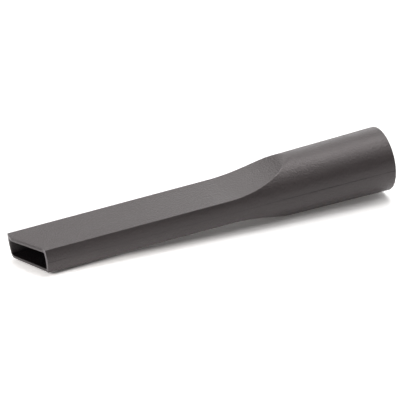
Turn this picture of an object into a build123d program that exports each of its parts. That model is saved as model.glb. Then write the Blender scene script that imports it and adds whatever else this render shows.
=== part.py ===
"""Crevice nozzle of a vacuum cleaner: one hollow plastic moulding.

A round socket slips over the end of a 35 mm wand. Past the socket, an S-curved surface cuts into the
round body from above and another from below, and leaves a flat, narrow duct. The duct ends in a slot
whose mouth is cut square at one corner, on a slant across the opening, and nearly square again over the
other side wall.

Frame: origin at the centre of the socket's mouth, +X out of the socket along the wand's axis, +Y
across the flats, +Z up. The nozzle runs towards -X. All sizes are in millimetres.
"""
from build123d import *
from math import cos, radians, sin, tan
import os

# Round body
LENGTH = 223.8
SOCKET_RADIUS = 19.25
SOCKET_DRAFT = radians(1.11)
NOZZLE_DRAFT = radians(0.30)
DRAFT_CHANGE = 77.9
DRAFT_BLEND_RADIUS = 2500.0

# S-curved flats, above and below alike
FLAT_HEIGHT = 7.18
FLAT_DRAFT = radians(0.12)
FLAT_END = 103.4
HOLLOW_RADIUS = 82.9
CREST_RADIUS = 33.7
RISE_ANGLE = radians(26.4)

# Wand socket
BORE_RADIUS = 17.5
BORE_DEPTH = 28.0
RIM_RADIUS = 0.35

# Duct. Its side wall thickens towards the socket, and so leaves a shoulder that stops the wand.
SIDE_WALL = 2.2
SHOULDER_WALL = 2.4
FLAT_WALL = 2.0
CORE_DROP = 0.3
DUCT_CORNER_RADIUS = 1.6

# Mouth, at the top flat and at the bottom flat
SQUARE_SETBACK = {"top": 0.0, "bottom": 0.45}
SQUARE_CORNER = {"top": 8.9, "bottom": 11.6}
SLANT_RATIO = {"top": 0.537, "bottom": 0.459}
SLANT_END = -13.3
NEAR_SLANT_RATIO = 0.12

# Outer edges of the flats
UPPER_EDGE_RADIUS = 0.4
LOWER_EDGE_RADIUS = 1.1

# How far a cutting shape runs past the part, and past a shape it joins
OVERRUN = 6.0
OVERLAP = 0.5

# What tells a crease along the nozzle from an edge that runs across it or along its sides
CREASE_MIN_LENGTH = 5.0
CREASE_MIN_HEIGHT = 3.0


def body_radius(x):
    """Outer radius of the round body at x, from its two drafts."""
    socket_part = max(x, -DRAFT_CHANGE)
    nozzle_part = min(x + DRAFT_CHANGE, 0)
    return SOCKET_RADIUS + socket_part * tan(SOCKET_DRAFT) + nozzle_part * tan(NOZZLE_DRAFT)


def round_body(start, end, wall=0, end_wall=0):
    """Solid of revolution about X between two stations, inside the body's outline by a wall.

    The wall changes evenly from the change of draft to the end station.
    """
    outline = [
        (start, body_radius(start) - wall),
        (-DRAFT_CHANGE, body_radius(-DRAFT_CHANGE) - wall),
        (end, body_radius(end) - end_wall),
    ]
    profile = FilletPolyline(*outline, radius=DRAFT_BLEND_RADIUS)
    profile += Polyline(outline[-1], (end, 0), (start, 0), outline[0])
    return revolve(make_face(profile), Axis.X)


def between_flats(wall):
    """Block between the two S-curved surfaces, one wall inside them, as wide as the body or wider."""
    hollow = HOLLOW_RADIUS + wall
    crest = CREST_RADIUS - wall
    tip = -LENGTH - OVERRUN
    height = FLAT_HEIGHT - wall
    flat_end = (-FLAT_END, height)
    flat_start = (tip, height + (tip + FLAT_END) * tan(FLAT_DRAFT))
    turn = (flat_end[0] + hollow * sin(RISE_ANGLE), height + hollow * (1 - cos(RISE_ANGLE)))
    top = (turn[0] + crest * sin(RISE_ANGLE), turn[1] + crest * (1 - cos(RISE_ANGLE)))
    past_socket = (OVERRUN, top[1] + OVERRUN)
    outline = Line(flat_start, flat_end)
    outline += TangentArc(flat_end, turn, tangent=(1, 0))
    outline += TangentArc(turn, top, tangent=(cos(RISE_ANGLE), sin(RISE_ANGLE)))
    outline += Polyline(top, past_socket, (OVERRUN, 0), (tip, 0), flat_start)
    half = extrude(Plane.XZ * make_face(outline), amount=SOCKET_RADIUS + OVERRUN, both=True)
    return half + mirror(half, about=Plane.XY)


def mouth_outline(level, height):
    """Plan view of what the mouth's cut removes, at one of the two flats."""
    width = SOCKET_RADIUS + OVERRUN
    square = -LENGTH + SQUARE_SETBACK[level]
    corner = SQUARE_CORNER[level]
    slant_end = square + SLANT_RATIO[level] * (corner - SLANT_END)
    near_end = slant_end + NEAR_SLANT_RATIO * (SLANT_END + width)
    outside = -LENGTH - OVERRUN
    points = [
        (outside, width),
        (square, width),
        (square, corner),
        (slant_end, SLANT_END),
        (near_end, -width),
        (outside, -width),
    ]
    return Plane.XY.offset(height) * make_face(Polyline(*points, close=True))


def mouth_cut():
    """The cut that shapes the tip. Its faces are ruled from the top flat to the bottom flat."""
    return loft([mouth_outline("bottom", -FLAT_HEIGHT), mouth_outline("top", FLAT_HEIGHT)], ruled=True)


def crease_edges(solid, above):
    """Edges where the two S-curved surfaces meet the round body, above or below the middle."""
    side = 1 if above else -1
    lengthwise = [edge for edge in solid.edges() if edge.bounding_box().size.X > CREASE_MIN_LENGTH]
    return [edge for edge in lengthwise if side * edge.center().Z > CREASE_MIN_HEIGHT]


def outer_body():
    """The moulding as if solid, with its edges rounded and its tip cut."""
    body = round_body(-LENGTH - OVERRUN, 0) & between_flats(0)
    body = fillet(crease_edges(body, above=True), UPPER_EDGE_RADIUS)
    body = fillet(crease_edges(body, above=False), LOWER_EDGE_RADIUS)
    socket_rim = body.edges().filter_by(GeomType.CIRCLE).sort_by(Axis.X)[-1]
    body = fillet(socket_rim, RIM_RADIUS)
    return body - mouth_cut()


def duct():
    """Air passage from the stop shoulder to beyond the mouth, with rounded corners."""
    passage = round_body(-LENGTH - OVERRUN, -BORE_DEPTH + OVERLAP, SIDE_WALL, SHOULDER_WALL)
    passage &= Pos(0, 0, -CORE_DROP) * between_flats(FLAT_WALL)
    corners = crease_edges(passage, above=True) + crease_edges(passage, above=False)
    return fillet(corners, DUCT_CORNER_RADIUS)


def bore():
    """The straight hole that takes the wand, from the stop shoulder to beyond the socket's mouth."""
    depth = BORE_DEPTH + OVERRUN
    return Pos(OVERRUN - depth / 2, 0, 0) * Rot(0, 90, 0) * Cylinder(BORE_RADIUS, depth)


if __name__ == "__main__":
    os.makedirs("parts", exist_ok=True)
    nozzle_body = outer_body() - duct() - bore()
    export_step(nozzle_body, "parts/nozzle_body.step")
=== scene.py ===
"""Looks of the crevice nozzle: a finer mesh of the moulding, its plastic, and a plain studio around it.

Everything is in metres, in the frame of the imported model: origin at the centre of the socket's mouth,
the nozzle running towards -X, +Z out of the upper flat.
"""
from math import cos, pi, radians, sin, tan

import bpy
import numpy as np
from mathutils import Matrix, Vector


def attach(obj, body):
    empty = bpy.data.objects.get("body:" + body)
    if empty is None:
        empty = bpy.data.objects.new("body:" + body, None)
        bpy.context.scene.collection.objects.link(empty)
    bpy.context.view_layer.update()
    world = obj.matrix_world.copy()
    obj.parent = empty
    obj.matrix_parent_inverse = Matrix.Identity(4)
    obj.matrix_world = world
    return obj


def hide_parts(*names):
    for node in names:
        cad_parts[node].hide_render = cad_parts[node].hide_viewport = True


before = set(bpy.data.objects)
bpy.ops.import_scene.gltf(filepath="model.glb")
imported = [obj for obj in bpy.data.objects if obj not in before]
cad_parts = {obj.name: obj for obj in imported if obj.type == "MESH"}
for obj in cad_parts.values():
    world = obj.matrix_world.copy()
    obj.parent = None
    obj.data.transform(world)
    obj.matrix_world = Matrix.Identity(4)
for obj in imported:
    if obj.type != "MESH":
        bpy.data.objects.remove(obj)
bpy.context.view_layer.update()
MM = 0.001

# ---------------------------------------------------------------- the moulding's driving dimensions
LENGTH = 223.8 * MM
SOCKET_RADIUS = 19.25 * MM
SOCKET_DRAFT = radians(1.11)
NOZZLE_DRAFT = radians(0.30)
DRAFT_CHANGE = 77.9 * MM
DRAFT_BLEND = 17.6 * MM

FLAT_HEIGHT = 7.18 * MM
FLAT_DRAFT = radians(0.12)
FLAT_END = 103.4 * MM
HOLLOW_RADIUS = 82.9 * MM
CREST_RADIUS = 33.7 * MM
RISE_ANGLE = radians(26.4)

BORE_RADIUS = 17.5 * MM
BORE_DEPTH = 28.0 * MM
SIDE_WALL = 2.2 * MM
SHOULDER_WALL = 2.4 * MM
FLAT_WALL = 2.0 * MM
CORE_DROP = 0.3 * MM

# Mouth, at the bottom flat and at the top flat
SQUARE_SETBACK = (0.45 * MM, 0.02 * MM)
SQUARE_CORNER = (11.6 * MM, 8.9 * MM)
SLANT_RATIO = (0.459, 0.537)
SLANT_END = -13.3 * MM
NEAR_SLANT_RATIO = 0.12

# Over what distance two surfaces blend where they meet
UPPER_CREASE = 0.22 * MM
RUN_OUT_CREASE = 0.7 * MM
RUN_OUT_LENGTH = 9.0 * MM
LOWER_CREASE = 0.65 * MM
DUCT_CREASE = 0.9 * MM
CORNER_CREASE = 0.35 * MM
LIP_OUTER_RADIUS = 0.22 * MM
LIP_INNER_RADIUS = 0.30 * MM
RIM_RADIUS = 0.35 * MM
BORE_EDGE_RADIUS = 0.2 * MM

# Parting line of the mould, along both sides at mid height
PARTING_STEP = 0.04 * MM
PARTING_DEPTH = 0.12 * MM
PARTING_WIDTH = 0.20 * MM
PARTING_STEP_FADE = 3.0 * MM

# What each point of the mesh carries besides its place, for the plastic to use
# edge: rubbed edges, partly painted highlight on the upper creases; lip: painted highlight on the mouth's
# cut face; inside: painted shade in the duct.
MASKS = ("edge", "parting", "lip", "inside")

# How clearly the parting line shows: everywhere, and how much more on the socket and near the mouth
PARTING_EVERYWHERE = 0.22
PARTING_ON_SOCKET = 0.62
PARTING_NEAR_MOUTH = 0.30
PARTING_SOCKET_START = 105.0 * MM
PARTING_SOCKET_FADE = 45.0 * MM
PARTING_MOUTH_START = 14.0 * MM
PARTING_MOUTH_FADE = 16.0 * MM
RIPPLE_LENGTHS = (9.1 * MM, 3.7 * MM)

# Painted highlight on the cut face at the mouth: over the near side wall, stronger towards the top, and
# along the inner half of the upper lip
HIGHLIGHT_SIDE_START = 12.0 * MM
HIGHLIGHT_SIDE_FADE = 3.0 * MM
HIGHLIGHT_SIDE_LOW = 0.35
HIGHLIGHT_ON_LIP = 0.35
HIGHLIGHT_LIP_FADE = 4.0 * MM
HIGHLIGHT_LIP_END = 0.62
HIGHLIGHT_LIP_BLEND = 0.15
# Depth over which painted shade darkens the duct inside the mouth.
DUCT_SHADE_DEPTH = 1.2 * MM

# Mesh: points around half a section, the samples that place them, and their widest spacing.
# The loops of the tip zone follow the mouth's cut, and the first have the points of one section.
AROUND = 112
SAMPLES = 1400
BASE_SPACING = 0.9 * MM
TIP_ZONE = 26.0 * MM
TIP_SECTION_X = -LENGTH + 6.0 * MM
SECTION_PASSES = 6
MOUTH_PASSES = 4

# Closer spacing, and how far it spreads: at the upper creases, the lower creases and the parting line
OVER_SPACING = (0.13 * MM, 0.5 * MM)
UNDER_SPACING = (0.20 * MM, 0.8 * MM)
PARTING_SPACING = (0.11 * MM, 0.4 * MM)
CREASE_SPACING_FADE = 14.0 * MM

# Loops of points: shares of the tip zone, then the end and spacing of each stretch beyond it
OUTSIDE_TIP = (0.0, 0.006, 0.02, 0.05, 0.1, 0.17, 0.25, 0.34, 0.44, 0.55, 0.66, 0.77, 0.88, 1.0)
DUCT_TIP = (0.8, 0.6, 0.4, 0.25, 0.12, 0.04, 0.0)
OUTSIDE_STRETCHES = (
    (-108.0 * MM, 2.2 * MM),
    (-66.0 * MM, 0.6 * MM),
    (-56.0 * MM, 0.25 * MM),
    (-46.0 * MM, 0.8 * MM),
    (-RIM_RADIUS, 1.5 * MM),
)
BORE_SPACING = 3.0 * MM
DUCT_STRETCHES = (
    (-56.0 * MM, 3.0 * MM),
    (-110.0 * MM, 1.5 * MM),
    (-LENGTH + TIP_ZONE, 6.0 * MM),
)

# Loops over the rounded edges, by degrees of turn, and over the flat of the lip, by share of the wall
LIP_TURNS = (25, 50, 70, 90)
LIP_SHARES = (0.32, 0.46, 0.60, 0.74)
RIM_TURNS = (22.5, 45, 67.5, 90)
BORE_EDGE_TURNS = (90, 60, 30, 0)

# Wear that the plastic shows on rounded edges
RIM_WEAR = 1.0
BORE_EDGE_WEAR = 0.7
INNER_LIP_WEAR = 0.6
OUTER_LIP_WEAR = 1.0


def smooth_step(t):
    t = np.clip(t, 0.0, 1.0)
    return t * t * (3.0 - 2.0 * t)


def smooth_max(a, b, width):
    """The larger of a and b, rounded where they differ by less than width."""
    near = np.maximum(width - np.abs(a - b), 0.0)
    return np.maximum(a, b) + near * near / (4.0 * width)


def body_radius(x):
    """Outer radius of the round body at x: two drafts with a parabola between them."""
    slope_out, slope_in = tan(SOCKET_DRAFT), tan(NOZZLE_DRAFT)
    socket = SOCKET_RADIUS + slope_out * x
    at_change = SOCKET_RADIUS - slope_out * DRAFT_CHANGE
    nozzle = at_change + slope_in * (x + DRAFT_CHANGE)
    along = x + DRAFT_CHANGE + DRAFT_BLEND
    start = at_change - slope_in * DRAFT_BLEND
    blend = start + slope_in * along + (slope_out - slope_in) * along**2 / (4.0 * DRAFT_BLEND)
    return np.where(along < 0, nozzle, np.where(along > 2 * DRAFT_BLEND, socket, blend))


def flat_height(x, wall=0.0):
    """Height of the upper S-curved surface at x, one wall inside it."""
    hollow, crest = HOLLOW_RADIUS + wall, CREST_RADIUS - wall
    base = FLAT_HEIGHT - wall
    turn_x = -FLAT_END + hollow * sin(RISE_ANGLE)
    turn_z = base + hollow * (1.0 - cos(RISE_ANGLE))
    top_x = turn_x + crest * sin(RISE_ANGLE)
    top_z = turn_z + crest * (1.0 - cos(RISE_ANGLE))
    flat = base + (x + FLAT_END) * tan(FLAT_DRAFT)
    along = np.clip(x + FLAT_END, 0.0, hollow * sin(RISE_ANGLE))
    rising = base + hollow - np.sqrt(hollow**2 - along**2)
    left = np.clip(top_x - x, 0.0, crest * sin(RISE_ANGLE))
    cresting = top_z - crest + np.sqrt(crest**2 - left**2)
    after = top_z + np.maximum(x - top_x, 0.0)
    height = np.where(x < -FLAT_END, flat, np.where(x < turn_x, rising, cresting))
    return np.where(x > top_x, after, height)


def duct_wall(x):
    """Side wall of the duct at x. It thickens from the change of draft to the stop shoulder."""
    share = np.clip((x + DRAFT_CHANGE) / (DRAFT_CHANGE - BORE_DEPTH), 0.0, 1.0)
    return SIDE_WALL + (SHOULDER_WALL - SIDE_WALL) * share


class Skin:
    """One of the two long surfaces: the outside, or the wall of the duct."""

    def __init__(self, side_wall, flat_wall, drop, creases):
        self.side_wall = side_wall
        self.flat_wall = flat_wall
        self.drop = drop
        self.creases = creases
        x = np.linspace(-FLAT_END, 0.0, 20001)
        self.crease_end = float(x[np.argmax(self.height(x) > self.radius(x))])

    def radius(self, x):
        return body_radius(x) - self.side_wall(x)

    def height(self, x):
        return flat_height(x, self.flat_wall)

    def half_angles(self, x, spacing, spread):
        """Angles of half a section's points, closer together at the creases and the parting line."""
        radius, height = float(self.radius(x)), float(self.height(x))
        angle = np.linspace(0.0, pi, SAMPLES)
        reach = np.minimum(radius, height / np.maximum(np.sin(angle), 1e-6))
        step = np.hypot(np.diff(reach), reach[1:] * np.diff(angle))
        along = np.concatenate([[0.0], np.cumsum(step)])
        crease = np.arcsin(min(height / radius, 1.0))
        fade = 1.0 - float(smooth_step((x - self.crease_end) / CREASE_SPACING_FADE))
        density = np.full(SAMPLES, 1.0 / BASE_SPACING)
        for at in (crease, pi - crease):
            gap = along - np.interp(at, angle, along)
            density += fade / spacing * np.exp(-((gap / spread) ** 2))
        for end in (along, along[-1] - along):
            density += 1.0 / PARTING_SPACING[0] * np.exp(-((end / PARTING_SPACING[1]) ** 2))
        share = np.concatenate([[0.0], np.cumsum(0.5 * (density[1:] + density[:-1]) * step)])
        return np.interp(np.linspace(0.0, share[-1], AROUND + 1), share, angle)

    def angles(self, x):
        """Angles of a whole section's points, from the far side over the top and back underneath."""
        over = self.half_angles(x, *OVER_SPACING)
        under = self.half_angles(x, *UNDER_SPACING)
        return np.concatenate([over[:-1], pi + under[:-1]])

    def section(self, x, angle):
        """Points (y, z) and crease nearness at each angle. x is one value, or one for each angle."""
        radius, height = self.radius(x), self.height(x)
        near_end = smooth_step((x - self.crease_end) / RUN_OUT_LENGTH + 1.0)
        softer = RUN_OUT_CREASE * near_end
        width = np.where(np.sin(angle) >= 0.0, self.creases[0], self.creases[1]) + softer
        lift = np.abs(np.sin(angle))
        reach = np.minimum(radius, height / np.maximum(lift, 1e-6))
        for _ in range(SECTION_PASSES):
            reach = reach - smooth_max(reach - radius, reach * lift - height, width)
        apart = np.abs((reach - radius) - (reach * lift - height))
        nearness = np.clip(1.0 - apart / (2.0 * width), 0.0, 1.0) * (1.0 - near_end)
        # Only the upper creases keep this mark. There its lighter colour is partly rubbed edges and partly
        # painted highlight; the lower creases sit in shade and get none.
        nearness = nearness * (np.sin(angle) > 0.0)
        return reach * np.cos(angle), reach * np.sin(angle) - self.drop, nearness


OUTSIDE = Skin(lambda x: 0.0 * x, 0.0, 0.0, (UPPER_CREASE, LOWER_CREASE))
DUCT = Skin(duct_wall, FLAT_WALL, CORE_DROP, (DUCT_CREASE, DUCT_CREASE))


def mouth_x(y, z):
    """Where the cut meets a point: square at the far corner, slanting, then nearly square again."""
    up = 0.5 * (z / FLAT_HEIGHT + 1.0)
    setback = SQUARE_SETBACK[0] + (SQUARE_SETBACK[1] - SQUARE_SETBACK[0]) * up
    slants, ends = [], []
    for i in (0, 1):
        slants.append(SQUARE_SETBACK[i] + SLANT_RATIO[i] * (SQUARE_CORNER[i] - y))
        end = SQUARE_SETBACK[i] + SLANT_RATIO[i] * (SQUARE_CORNER[i] - SLANT_END)
        ends.append(end + NEAR_SLANT_RATIO * (SLANT_END - y))
    slant = slants[0] + (slants[1] - slants[0]) * up
    near = ends[0] + (ends[1] - ends[0]) * up
    slant = -smooth_max(-slant, -near, CORNER_CREASE)
    return -LENGTH + smooth_max(setback, slant, CORNER_CREASE)


def parting_strength(x):
    """How clearly the parting line shows along the nozzle."""
    on_socket = smooth_step((x + PARTING_SOCKET_START) / PARTING_SOCKET_FADE)
    near_mouth = 1.0 - smooth_step((x + LENGTH - PARTING_MOUTH_START) / PARTING_MOUTH_FADE)
    long_wave, short_wave = RIPPLE_LENGTHS
    ripple = 0.5 + 0.3 * np.sin(x / long_wave) + 0.2 * np.sin(x / short_wave + 1.3)
    strength = PARTING_EVERYWHERE + PARTING_ON_SOCKET * on_socket + PARTING_NEAR_MOUTH * near_mouth
    return np.clip(strength, 0.0, 1.0) * (0.6 + 0.4 * ripple)


def loop(x, y, z, edge=0.0, parting=0.0, lip=0.0, inside=0.0):
    """One loop of points: their places, then their masks."""
    return np.stack(np.broadcast_arrays(x, y, z, edge, parting, lip, inside), axis=1)


def outside_row(x, angle):
    """One loop of the outside, with its parting line."""
    y, z, crease = OUTSIDE.section(x, angle)
    reach = np.hypot(y, z)
    groove = parting_strength(x) * np.exp(-((z / PARTING_WIDTH) ** 2)) * (np.abs(y) > np.abs(z))
    above = smooth_step(z / (2.0 * PARTING_WIDTH) + 0.5) * (np.abs(y) > np.abs(z))
    inset = PARTING_DEPTH * groove + PARTING_STEP * above * np.exp(-np.abs(z) / PARTING_STEP_FADE)
    scale = 1.0 - inset / reach
    return loop(x, y * scale, z * scale, edge=crease, parting=groove)


def duct_row(x, angle):
    """One loop of the duct's wall, with painted shade that darkens it from just inside the mouth."""
    y, z, _ = DUCT.section(x, angle)
    return loop(x, y, z, inside=smooth_step((x - mouth_x(y, z)) / DUCT_SHADE_DEPTH))


def ring_row(x, radius, angle, wear_and_highlight):
    """A plain circle, for the socket's rim and bore."""
    return loop(x, radius * np.cos(angle), radius * np.sin(angle), edge=wear_and_highlight)


def at_mouth(skin, angle):
    """The x at which each column of a skin meets the mouth's cut."""
    x = np.full(len(angle), -LENGTH)
    for _ in range(MOUTH_PASSES):
        y, z, _ = skin.section(x, angle)
        x = mouth_x(y, z)
    return x


def tip_rows(skin, row, radius, spots):
    """Loops from the edge of the lip to the end of the tip zone, one for each share of the way."""
    join = -LENGTH + TIP_ZONE
    made = []
    for share in spots:
        angle = skin.angles(float(np.interp(share, [0, 1], [TIP_SECTION_X, join])))
        edge = at_mouth(skin, angle) + radius
        made.append(row(edge + (join - edge) * share, angle))
    return made


def lip_rows():
    """Loops over the end face of the wall at the mouth, from its inner edge to its outer edge."""
    outer_angle, inner_angle = OUTSIDE.angles(TIP_SECTION_X), DUCT.angles(TIP_SECTION_X)
    outer_x, inner_x = at_mouth(OUTSIDE, outer_angle), at_mouth(DUCT, inner_angle)
    outer = outside_row(outer_x, outer_angle)
    inner = duct_row(inner_x, inner_angle)
    thickness = np.hypot(outer[:, 1] - inner[:, 1], outer[:, 2] - inner[:, 2])
    made = []
    for turn in LIP_TURNS:
        away = LIP_INNER_RADIUS * (1 - cos(radians(turn)))
        made.append((away / thickness, LIP_INNER_RADIUS * (1 - sin(radians(turn))), INNER_LIP_WEAR))
    for share in LIP_SHARES:
        made.append((share + 0.0 * thickness, 0.0, 0.0))
    for turn in reversed(LIP_TURNS):
        away = LIP_OUTER_RADIUS * (1 - cos(radians(turn)))
        made.append((1.0 - away / thickness, LIP_OUTER_RADIUS * (1 - sin(radians(turn))), OUTER_LIP_WEAR))
    rows = []
    for share, depth, wear_and_highlight in made:
        y = inner[:, 1] + (outer[:, 1] - inner[:, 1]) * share
        z = inner[:, 2] + (outer[:, 2] - inner[:, 2]) * share
        # Painted highlight on the cut face: over the near side wall, stronger towards the top, and along
        # the inner half of the upper lip.
        up = smooth_step(0.5 + 0.5 * z / FLAT_HEIGHT)
        side = smooth_step((-y - HIGHLIGHT_SIDE_START) / HIGHLIGHT_SIDE_FADE)
        side = side * (HIGHLIGHT_SIDE_LOW + (1.0 - HIGHLIGHT_SIDE_LOW) * up)
        inner_half = smooth_step((HIGHLIGHT_LIP_END - share) / HIGHLIGHT_LIP_BLEND)
        over_slot = HIGHLIGHT_ON_LIP * smooth_step(z / HIGHLIGHT_LIP_FADE) * inner_half
        rows.append(loop(mouth_x(y, z) + depth, y, z, edge=wear_and_highlight, lip=np.maximum(side, over_slot)))
    return rows


def spaced(start, end, spacing):
    """Stations from after start up to end, evenly spaced."""
    count = max(int(round(abs(end - start) / spacing)), 1)
    return np.linspace(start, end, count + 1)[1:]


def all_rows():
    """Every loop of the moulding's surface: outside, rim, bore, shoulder, duct and lip."""
    rows = tip_rows(OUTSIDE, outside_row, LIP_OUTER_RADIUS, OUTSIDE_TIP)
    at = -LENGTH + TIP_ZONE
    for end, spacing in OUTSIDE_STRETCHES:
        rows += [outside_row(np.float64(x), OUTSIDE.angles(float(x))) for x in spaced(at, end, spacing)]
        at = end

    angle = OUTSIDE.angles(0.0)
    for turn in RIM_TURNS:
        away = RIM_RADIUS * (1 - cos(radians(turn)))
        x = -RIM_RADIUS * (1 - sin(radians(turn)))
        rows.append(ring_row(x, SOCKET_RADIUS - away, angle, RIM_WEAR))
    rows.append(ring_row(0.0, 0.5 * (SOCKET_RADIUS - RIM_RADIUS + BORE_RADIUS), angle, 0.0))
    for turn in BORE_EDGE_TURNS:
        away = BORE_EDGE_RADIUS * (1 - cos(radians(turn)))
        x = -BORE_EDGE_RADIUS * (1 - sin(radians(turn)))
        rows.append(ring_row(x, BORE_RADIUS + away, angle, BORE_EDGE_WEAR))
    bore = spaced(-BORE_EDGE_RADIUS, -BORE_DEPTH, BORE_SPACING)
    rows += [ring_row(x, BORE_RADIUS, angle, 0.0) for x in bore]

    stations = [-BORE_DEPTH]
    for end, spacing in DUCT_STRETCHES:
        stations.extend(spaced(stations[-1], end, spacing))
    rows += [duct_row(np.float64(x), DUCT.angles(float(x))) for x in stations]
    rows += tip_rows(DUCT, duct_row, LIP_INNER_RADIUS, DUCT_TIP)
    return rows + lip_rows()


def make_shell():
    """The moulding as one closed mesh, a grid that runs round both ways."""
    rows = np.array(all_rows())
    count, around = rows.shape[:2]
    index = np.arange(count * around).reshape(count, around)
    after, beside = np.roll(index, -1, axis=0), np.roll(index, -1, axis=1)
    across = np.roll(after, -1, axis=1)
    faces = np.stack([index, beside, across, after], axis=2).reshape(-1, 4)
    points = rows.reshape(-1, rows.shape[2])
    mesh = bpy.data.meshes.new("nozzle_shell")
    mesh.from_pydata(points[:, :3].tolist(), [], faces.tolist())
    for column, name in enumerate(MASKS, 3):
        attribute = mesh.attributes.new(name, "FLOAT", "POINT")
        attribute.data.foreach_set("value", points[:, column].astype(np.float32))
    mesh.polygons.foreach_set("use_smooth", [True] * len(mesh.polygons))
    mesh.update()
    shell = bpy.data.objects.new("nozzle_shell", mesh)
    bpy.context.scene.collection.objects.link(shell)
    return shell


# ---------------------------------------------------------------- plastic
class Nodes:
    """A small helper that adds nodes to a material and links them."""

    def __init__(self, material):
        material.use_nodes = True
        self.tree = material.node_tree
        self.shader = self.tree.nodes["Principled BSDF"]

    def add(self, kind, inputs=(), **settings):
        node = self.tree.nodes.new(kind)
        for name, value in settings.items():
            setattr(node, name, value)
        for socket, value in dict(inputs).items():
            if isinstance(value, bpy.types.NodeSocket):
                self.tree.links.new(value, node.inputs[socket])
            else:
                node.inputs[socket].default_value = value
        return node

    def math(self, operation, *values):
        return self.add("ShaderNodeMath", dict(enumerate(values)), operation=operation).outputs[0]

    def mask(self, name):
        return self.add("ShaderNodeAttribute", attribute_name=name).outputs["Fac"]

    def noise(self, place, scale, detail, roughness=0.5):
        inputs = {"Vector": place, "Scale": scale, "Detail": detail, "Roughness": roughness}
        return self.add("ShaderNodeTexNoise", inputs).outputs["Fac"]

    def remap(self, value, low, high, to_low, to_high):
        inputs = {"Value": value, 1: low, 2: high, 3: to_low, 4: to_high}
        return self.add("ShaderNodeMapRange", inputs).outputs["Result"]

    def mix(self, share, first, second):
        mix = self.add("ShaderNodeMix", {0: share, 6: first, 7: second}, data_type="RGBA")
        return mix.outputs[2]

    def relief(self, height, strength_and_depth, under=None):
        strength, depth = strength_and_depth
        inputs = {"Height": height, "Strength": strength, "Distance": depth}
        if under is not None:
            inputs["Normal"] = under
        return self.add("ShaderNodeBump", inputs).outputs[0]

    def feed(self, socket, value):
        self.tree.links.new(value, self.shader.inputs[socket])


DARK = (0.0190, 0.0148, 0.0152, 1.0)
LIGHT = (0.0310, 0.0248, 0.0252, 1.0)
# Rubbed edges; along the upper creases this lighter colour is also painted highlight.
WORN_AND_HIGHLIGHT = (0.070, 0.061, 0.062, 1.0)
# Painted highlight on the cut face at the mouth.
LIP_HIGHLIGHT = (0.170, 0.155, 0.165, 1.0)
LINE = (0.004, 0.004, 0.004, 1.0)
# Painted shade inside the duct.
INSIDE_SHADE = (0.011, 0.008, 0.010, 1.0)
SHEEN_TINT = (1.0, 0.93, 0.935, 1.0)
REFRACTION = 1.49
SPECULAR_LEVEL = 0.69

# Scales of the plastic's patterns, per metre, and how flow along the mould stretches some of them
FLOW_STRETCH = (0.22, 1.0, 1.0)
BLOTCH_SCALE = 55.0
WAVE_SCALE = 130.0
RUBBING_SCALE = 420.0
COARSE_GRAIN_SCALE = 1050.0
SPECKLE_SCALE = 1500.0
GRAIN_SCALE = 2600.0

# Relief: strength and depth of each pattern
WAVE_RELIEF = (0.35, 0.06 * MM)
COARSE_GRAIN_RELIEF = (0.8, 0.3 * MM)
GRAIN_RELIEF = (0.6, 0.04 * MM)

# Roughness: its range over the blotches, and what speckle, wear and dirt change
ROUGHNESS_RANGE = (0.43, 0.51)
SPECKLE_ROUGHNESS = 0.08
WEAR_POLISH = 0.12
DIRT_ROUGHNESS = 0.2
WEAR_AND_HIGHLIGHT_SHARE = 0.6
DIRT_SHARE = 0.95


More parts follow.
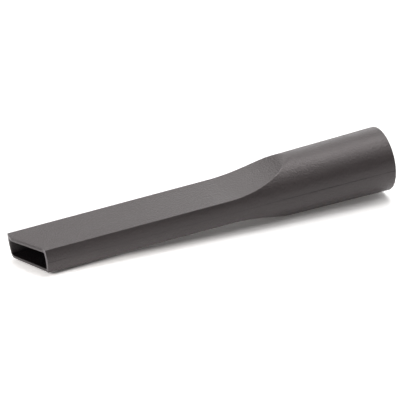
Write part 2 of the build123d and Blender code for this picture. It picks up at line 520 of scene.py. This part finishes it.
def make_plastic():
    """Dark grey moulded plastic: eroded grain, faint flow marks, rubbed edges with some painted highlight,
    a dirty parting line, a painted highlight on the mouth's cut face and painted shade inside the duct.
    """
    material = bpy.data.materials.new("moulded_grey_plastic")
    nodes = Nodes(material)
    place = nodes.add("ShaderNodeTexCoord").outputs["Object"]
    stretched = nodes.add("ShaderNodeMapping", {"Vector": place, "Scale": FLOW_STRETCH}).outputs[0]
    edge, parting, lip, inside = (nodes.mask(name) for name in MASKS)

    blotches = nodes.noise(stretched, BLOTCH_SCALE, 4.0, 0.55)
    speckle = nodes.noise(place, SPECKLE_SCALE, 2.0, 0.6)
    grain = nodes.noise(place, GRAIN_SCALE, 3.0, 0.6)
    coarse_grain = nodes.noise(place, COARSE_GRAIN_SCALE, 2.0, 0.5)
    rubbing = nodes.noise(stretched, RUBBING_SCALE, 3.0, 0.6)

    tone = nodes.math("ADD", nodes.math("MULTIPLY", blotches, 0.55), nodes.math("MULTIPLY", speckle, 0.45))
    tone = nodes.remap(tone, 0.34, 0.66, 0.0, 1.0)
    colour = nodes.mix(tone, DARK, LIGHT)
    # Lighter colour on rubbed edges, which along the upper creases is partly painted highlight.
    on_edge = nodes.remap(edge, 0.35, 1.0, 0.0, 1.0)
    wear_and_highlight = nodes.math("MULTIPLY", on_edge, nodes.remap(rubbing, 0.35, 0.7, 0.15, 0.9))
    colour = nodes.mix(nodes.math("MULTIPLY", wear_and_highlight, WEAR_AND_HIGHLIGHT_SHARE), colour, WORN_AND_HIGHLIGHT)
    # Painted highlight on the cut face at the mouth, mottled by the rubbing noise.
    pale = nodes.math("MULTIPLY", lip, nodes.remap(rubbing, 0.3, 0.7, 0.75, 1.0))
    colour = nodes.mix(pale, colour, LIP_HIGHLIGHT)
    # Painted shade inside the duct, from just inside the mouth.
    colour = nodes.mix(inside, colour, INSIDE_SHADE)
    dirt = nodes.remap(parting, 0.08, 0.75, 0.0, DIRT_SHARE)
    colour = nodes.mix(dirt, colour, LINE)
    nodes.feed("Base Color", colour)

    roughness = nodes.remap(blotches, 0.3, 0.7, *ROUGHNESS_RANGE)
    spotted = nodes.remap(speckle, 0.3, 0.7, -SPECKLE_ROUGHNESS, SPECKLE_ROUGHNESS)
    roughness = nodes.math("ADD", roughness, spotted)
    roughness = nodes.math("SUBTRACT", roughness, nodes.math("MULTIPLY", wear_and_highlight, WEAR_POLISH))
    roughness = nodes.math("ADD", roughness, nodes.math("MULTIPLY", dirt, DIRT_ROUGHNESS))
    nodes.feed("Roughness", roughness)

    waves = nodes.noise(stretched, WAVE_SCALE, 1.0, 0.4)
    relief = nodes.relief(waves, WAVE_RELIEF)
    relief = nodes.relief(coarse_grain, COARSE_GRAIN_RELIEF, relief)
    nodes.feed("Normal", nodes.relief(grain, GRAIN_RELIEF, relief))
    nodes.shader.inputs["IOR"].default_value = REFRACTION
    nodes.shader.inputs["Specular IOR Level"].default_value = SPECULAR_LEVEL
    nodes.shader.inputs["Specular Tint"].default_value = SHEEN_TINT
    return material


# ---------------------------------------------------------------- studio
# Slopes of the table, about those from the socket's rim to the mouth's lower corners. The underside
# bulges below that plane, 57 mm from the rim, so the table lies there and both ends are 2 mm clear.
FLOOR_SLOPE_X = -0.05672
FLOOR_SLOPE_Y = -0.0208
FLOOR_SIZE = 8.0
FLOOR_SINK = 0.02 * MM

CAMERA_AZIMUTH = radians(19.43)
CAMERA_ELEVATION = radians(26.62)
CAMERA_ROLL = radians(-5.957)
CAMERA_DISTANCE = 905.28 * MM
CAMERA_TARGET = Vector((-114.79 * MM, 0.0, 4.16 * MM))
CAMERA_LENS = 144.0
SENSOR_WIDTH = 36.0
CAMERA_CLIP = (0.01, 50.0)

FLOOR_ALBEDO = 0.92
FLOOR_MOTTLE = 0.01
FLOOR_MOTTLE_SCALE = 60.0
FLOOR_ROUGHNESS = 0.9
FLOOR_SPECULAR = 0.1
WORLD_STRENGTH = 0.12
WORLD_COLOUR = (1.0, 0.96, 0.92, 1.0)

# The table's own glow lies around a patch under the nozzle. The patch runs along the mouth's slant,
# this far inside it, and reaches this far to the near side, at the mouth and from an x onwards.
GLOW_INTO_MOUTH = 5.0 * MM
PATCH_REACH = (15.0 * MM, 7.0 * MM)
PATCH_REACH_X = -165.0 * MM

# Each pair holds near the mouth and near the socket, and changes evenly between these two places
GLOW_CHANGES_X = (-200.0 * MM, -80.0 * MM)
GLOW_STARTS = (0.5 * MM, 1.5 * MM)
GLOW_FULL = (3.0 * MM, 12.0 * MM)
GLOW_PEAK = (0.58, 0.27)
GLOW_UNDER = (0.03, 0.09)

# Distances from the patch over which the glow fades away again
GLOW_FADES = (13.0 * MM, 30.0 * MM)
GLOW_TINT = (1.0, 0.965, 0.94, 1.0)

# Softboxes: name, place, width and height, power
SOFTBOXES = (
    ("key_above_socket", (0.25, 0.05, 1.0), (0.6, 0.8), 9.4),
    ("above_front", (0.25, -0.6, 1.0), (0.6, 0.6), 2.7),
    ("behind_nozzle", (-0.11, 1.0, 1.0), (0.6, 0.6), 7.0),
    ("behind_socket", (0.6, 1.0, 1.0), (0.6, 0.6), 1.9),
    ("low_behind", (0.7, 1.4, 0.35), (0.6, 0.6), 4.1),
    ("low_left", (-1.3, 0.0, 0.4), (0.6, 0.6), 4.6),
    ("low_right", (1.1, 0.0, 0.4), (0.6, 0.6), 4.4),
    ("front_left", (-0.7, -0.9, 0.7), (0.6, 0.6), 0.3),
)


def away_from_patch(nodes, x, y):
    """How far a point of the table lies from the patch, to the near side of it or past its ends."""
    slant = nodes.math("MULTIPLY", nodes.math("SUBTRACT", SQUARE_CORNER[0], y), SLANT_RATIO[0])
    mouth = nodes.math("SUBTRACT", nodes.math("MAXIMUM", slant, 0.0), LENGTH - GLOW_INTO_MOUTH)
    past_end = nodes.math("MAXIMUM", nodes.math("SUBTRACT", mouth, x), x)
    past_end = nodes.math("MAXIMUM", past_end, 0.0)
    reach = nodes.remap(x, -LENGTH, PATCH_REACH_X, *PATCH_REACH)
    nearer = nodes.math("SUBTRACT", nodes.math("MULTIPLY", y, -1.0), reach)
    beside = nodes.math("MAXIMUM", nearer, 0.0)
    squares = nodes.math("ADD", nodes.math("POWER", past_end, 2.0), nodes.math("POWER", beside, 2.0))
    return nodes.math("SQRT", squares)


def table_glow(nodes, place):
    """Light from inside the table: little under the nozzle, more around it, most around the mouth."""
    spot = nodes.add("ShaderNodeSeparateXYZ", {0: place})
    x, y = spot.outputs["X"], spot.outputs["Y"]
    away = away_from_patch(nodes, x, y)
    pairs = (GLOW_STARTS, GLOW_FULL, GLOW_UNDER, GLOW_PEAK)
    starts, full, under, peak = (nodes.remap(x, *GLOW_CHANGES_X, *pair) for pair in pairs)
    glow = nodes.remap(away, starts, full, under, peak)
    return nodes.math("MULTIPLY", glow, nodes.remap(away, *GLOW_FADES, 1.0, 0.0))


def make_floor(shell):
    """A pale table, just below the lowest point of the nozzle's underside."""
    points = np.array([vertex.co[:] for vertex in shell.data.vertices])
    clear = points[:, 2] - FLOOR_SLOPE_X * points[:, 0] - FLOOR_SLOPE_Y * points[:, 1]
    base = float(clear.min()) - FLOOR_SINK
    middle = -0.5 * LENGTH
    half = 0.5 * FLOOR_SIZE
    corners = []
    for x, y in ((-half, -half), (half, -half), (half, half), (-half, half)):
        corners.append((x + middle, y, base + FLOOR_SLOPE_X * (x + middle) + FLOOR_SLOPE_Y * y))
    mesh = bpy.data.meshes.new("table_top")
    mesh.from_pydata(corners, [], [(0, 1, 2, 3)])
    floor = bpy.data.objects.new("table_top", mesh)
    bpy.context.scene.collection.objects.link(floor)
    material = bpy.data.materials.new("white_table")
    nodes = Nodes(material)
    place = nodes.add("ShaderNodeTexCoord").outputs["Object"]
    low, high = FLOOR_ALBEDO - FLOOR_MOTTLE, FLOOR_ALBEDO + FLOOR_MOTTLE
    mottle = nodes.noise(place, FLOOR_MOTTLE_SCALE, 3.0)
    colour = nodes.mix(mottle, (low, low, low, 1.0), (high, high, high, 1.0))
    nodes.feed("Base Color", colour)
    nodes.shader.inputs["Roughness"].default_value = FLOOR_ROUGHNESS
    nodes.shader.inputs["Specular IOR Level"].default_value = FLOOR_SPECULAR
    nodes.shader.inputs["Emission Color"].default_value = GLOW_TINT
    nodes.feed("Emission Strength", table_glow(nodes, place))
    mesh.materials.append(material)


def make_world():
    """Faint, slightly warm light from all around."""
    world = bpy.data.worlds.new("studio")
    world.use_nodes = True
    background = world.node_tree.nodes["Background"]
    background.inputs["Color"].default_value = WORLD_COLOUR
    background.inputs["Strength"].default_value = WORLD_STRENGTH
    bpy.context.scene.world = world


def make_softbox(name, place, size, power):
    """A rectangular light, turned towards the middle of the nozzle."""
    light = bpy.data.lights.new(name, "AREA")
    light.shape = "RECTANGLE"
    light.size, light.size_y = size
    light.energy = power
    lamp = bpy.data.objects.new(name, light)
    lamp.location = place
    aim = Vector((-0.5 * LENGTH, 0.0, 0.0)) - Vector(place)
    lamp.rotation_euler = aim.to_track_quat("-Z", "Y").to_euler()
    bpy.context.scene.collection.objects.link(lamp)


def make_camera():
    """The camera, aimed at its target from its azimuth and elevation and then rolled."""
    azimuth, elevation = CAMERA_AZIMUTH, CAMERA_ELEVATION
    forward = Vector((cos(elevation) * sin(azimuth), cos(elevation) * cos(azimuth), -sin(elevation)))
    level = forward.cross(Vector((0.0, 0.0, 1.0))).normalized()
    upright = level.cross(forward)
    right = cos(CAMERA_ROLL) * level + sin(CAMERA_ROLL) * upright
    up = -sin(CAMERA_ROLL) * level + cos(CAMERA_ROLL) * upright
    axes = Matrix((right, up, -forward)).transposed().to_4x4()
    data = bpy.data.cameras.new("camera")
    data.lens = CAMERA_LENS
    data.sensor_width = SENSOR_WIDTH
    data.clip_start, data.clip_end = CAMERA_CLIP
    camera = bpy.data.objects.new("camera", data)
    camera.matrix_world = Matrix.Translation(CAMERA_TARGET - CAMERA_DISTANCE * forward) @ axes
    bpy.context.scene.collection.objects.link(camera)
    bpy.context.scene.camera = camera


nozzle_shell = make_shell()
nozzle_shell.data.materials.append(make_plastic())
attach(nozzle_shell, "root")
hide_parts("nozzle_body")
make_floor(nozzle_shell)
make_world()
for softbox in SOFTBOXES:
    make_softbox(*softbox)
make_camera()
bpy.context.scene.view_settings.view_transform = "Standard"
bpy.context.scene.view_settings.look = "None"
